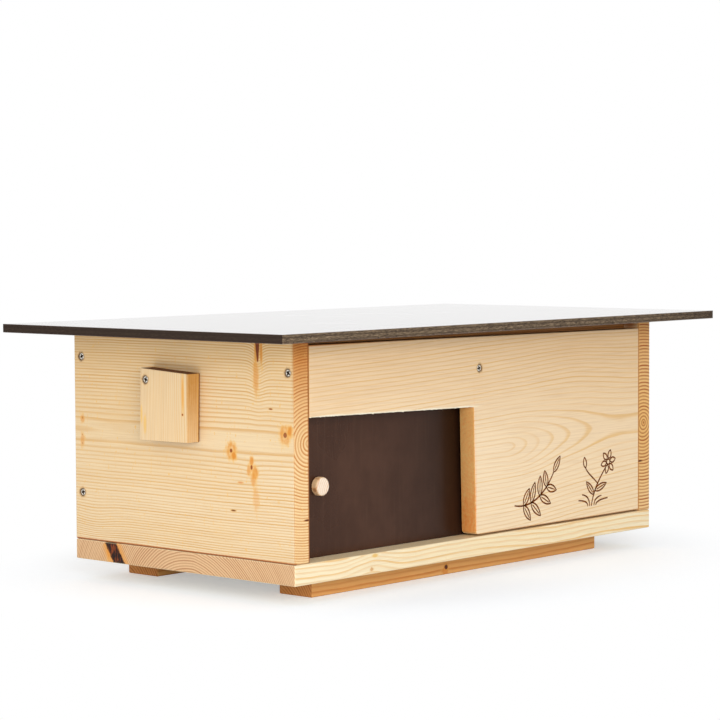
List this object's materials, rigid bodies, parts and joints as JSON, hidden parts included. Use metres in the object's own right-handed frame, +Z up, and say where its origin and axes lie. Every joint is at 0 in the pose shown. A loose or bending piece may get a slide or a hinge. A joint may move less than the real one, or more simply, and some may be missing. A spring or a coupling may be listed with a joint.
{
  "type": "tortoise house",
  "caption": "Low wooden tortoise house on two runners, with a sliding plywood door, a swivelling vent cover and a dark plywood roof that lifts off.",
  "frame": {"origin": "on the ground under the middle of the roof board", "axes": "+X to the right along the doorway side, -Y is the doorway side, +Z up"},
  "size_m": [0.723, 0.406, 0.2719],
  "materials": {
    "spruce": "planed spruce board, untreated, fine flat grain with small knots",
    "pine_batten": "orange-brown sawn batten",
    "film_plywood": "dark brown phenolic film on plywood, smooth and glossy, edges painted dark",
    "beech": "pale turned rod, lightly sanded",
    "zinc": "bright zinc-plated steel"
  },
  "bodies": {
    "house": {"floor_board": "spruce", "runner_front": "pine_batten", "runner_back": "pine_batten", "side_left": "spruce", "side_right": "spruce", "back_panel": "spruce", "front_panel": "spruce", "door_guide_spacer": "spruce", "door_guide_keeper": "spruce", "door_guide_sill": "spruce", "screw_left_back_upper": "zinc", "screw_left_back_lower": "zinc", "screw_left_front_upper": "zinc", "screw_right_back_upper": "zinc", "screw_right_back_lower": "zinc", "screw_right_front_upper": "zinc", "screw_right_front_lower": "zinc", "screw_floor_left_front": "zinc", "screw_floor_left_back": "zinc", "screw_floor_right_front": "zinc", "screw_floor_right_back": "zinc", "screw_floor_back_left": "zinc", "screw_floor_back_right": "zinc", "screw_runner_front_left": "zinc", "screw_runner_front_right": "zinc", "screw_runner_back_left": "zinc", "screw_runner_back_right": "zinc", "screw_front_rail": "zinc", "screw_guide_left": "zinc", "screw_guide_right": "zinc", "screw_sill_left": "zinc", "screw_sill_right": "zinc", "vent_pivot_screw": "zinc"},
    "door": {"sliding_door": "film_plywood", "door_knob": "beech", "knob_screw": "zinc"},
    "roof": {"roof_board": "film_plywood", "roof_batten_left": "spruce", "roof_batten_right": "spruce", "screw_batten_left_front": "zinc", "screw_batten_left_back": "zinc", "screw_batten_right_front": "zinc", "screw_batten_right_back": "zinc"},
    "vent_flap": {"vent_cover": "spruce"}
  },
  "joints": [
    {"name": "door_slide", "type": "slide", "parent": "house", "child": "door", "axis": [1, 0, 0], "range_m": [0, 0.21]},
    {"name": "roof_lift", "type": "slide", "parent": "house", "child": "roof", "axis": [0, 0, 1], "range_m": [0, 0.15]},
    {"name": "vent_turn", "type": "hinge", "parent": "house", "child": "vent_flap", "pos_m": [-0.299, 0.033, 0.2179], "axis": [1, 0, 0], "range_deg": [-25, 110]}
  ]
}
